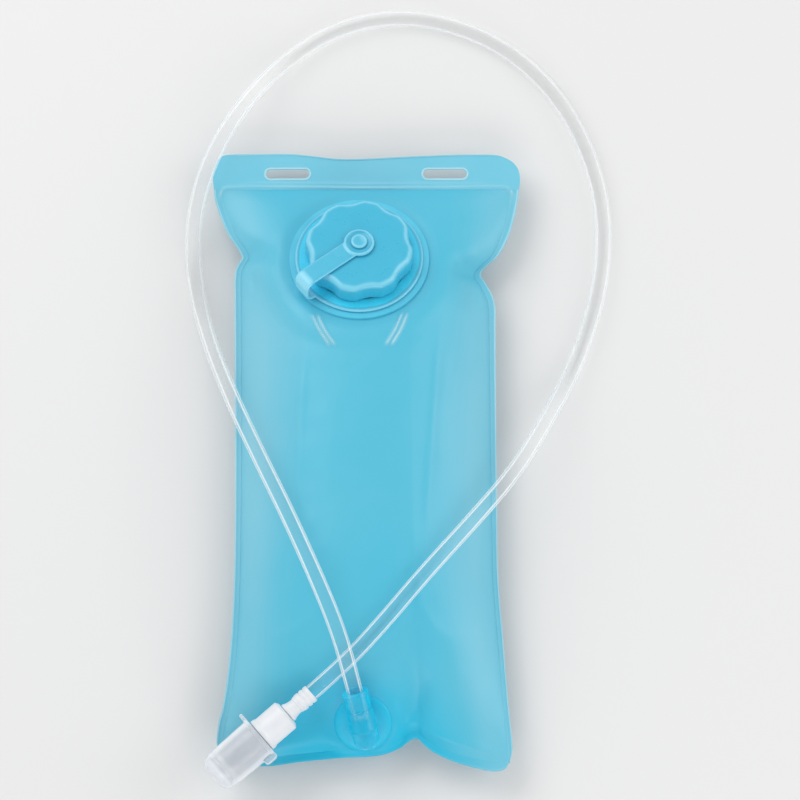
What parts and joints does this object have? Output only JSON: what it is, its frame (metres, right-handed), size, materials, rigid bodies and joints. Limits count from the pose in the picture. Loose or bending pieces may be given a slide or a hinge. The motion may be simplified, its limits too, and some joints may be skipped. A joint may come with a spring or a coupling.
{
  "type": "hydration bladder",
  "caption": "Soft drinking reservoir: welded film bag with a wide screw cap on a tether, and a clear hose from its foot outlet to a covered bite valve",
  "frame": {"origin": "on the surface the bladder lies on, under the middle of the bag without its hose", "axes": "+X to the right of the bag seen from its front, +Y up the bag toward the header, +Z out of the front"},
  "size_m": [0.2552, 0.4777, 0.0715],
  "materials": {
    "bag_film": "satin translucent blue film",
    "header_film": "satin translucent blue film, two layers welded",
    "port_plastic": "translucent blue moulding",
    "cap_plastic": "satin blue moulding",
    "tether_plastic": "soft satin blue moulding",
    "seal_rubber": "pale silicone",
    "hose_tube": "clear flexible tube",
    "white_plastic": "white moulding",
    "bite_rubber": "grey silicone",
    "cover_plastic": "frosted clear moulding"
  },
  "bodies": {
    "bag": {"front_film": "bag_film", "back_film": "bag_film", "header_strip": "header_film", "neck_spout": "port_plastic", "outlet_port": "port_plastic", "outlet_collar": "port_plastic", "hose": "hose_tube", "hose_collar": "white_plastic", "valve_stem": "white_plastic", "stem_o_rings": "seal_rubber"},
    "tether": {"cap_tether": "tether_plastic"},
    "cap": {"cap": "cap_plastic", "cap_gasket": "seal_rubber"},
    "valve": {"valve_sleeve": "white_plastic", "bite_valve": "bite_rubber"},
    "cover": {"dust_cover": "cover_plastic"}
  },
  "joints": [
    {"name": "cap_rise", "type": "slide", "parent": "bag", "child": "tether", "axis": [0, 0.342, 0.9397], "range_m": [0, 0.015]},
    {"name": "cap_turn", "type": "hinge", "parent": "tether", "child": "cap", "pos_m": [-0.004, 0.1183, 0.03482], "axis": [0, 0.342, 0.9397], "range_deg": [0, 540]},
    {"name": "valve_pull", "type": "slide", "parent": "bag", "child": "valve", "axis": [-0.7576, -0.646, -0.094], "range_m": [0, 0.004]},
    {"name": "cover_pull", "type": "slide", "parent": "valve", "child": "cover", "axis": [-0.7576, -0.646, -0.094], "range_m": [0, 0.04]}
  ],
  "couplings": [
    {"joint": "cap_rise", "follows": "cap_turn", "m_per_rad": 0.0015915}
  ]
}
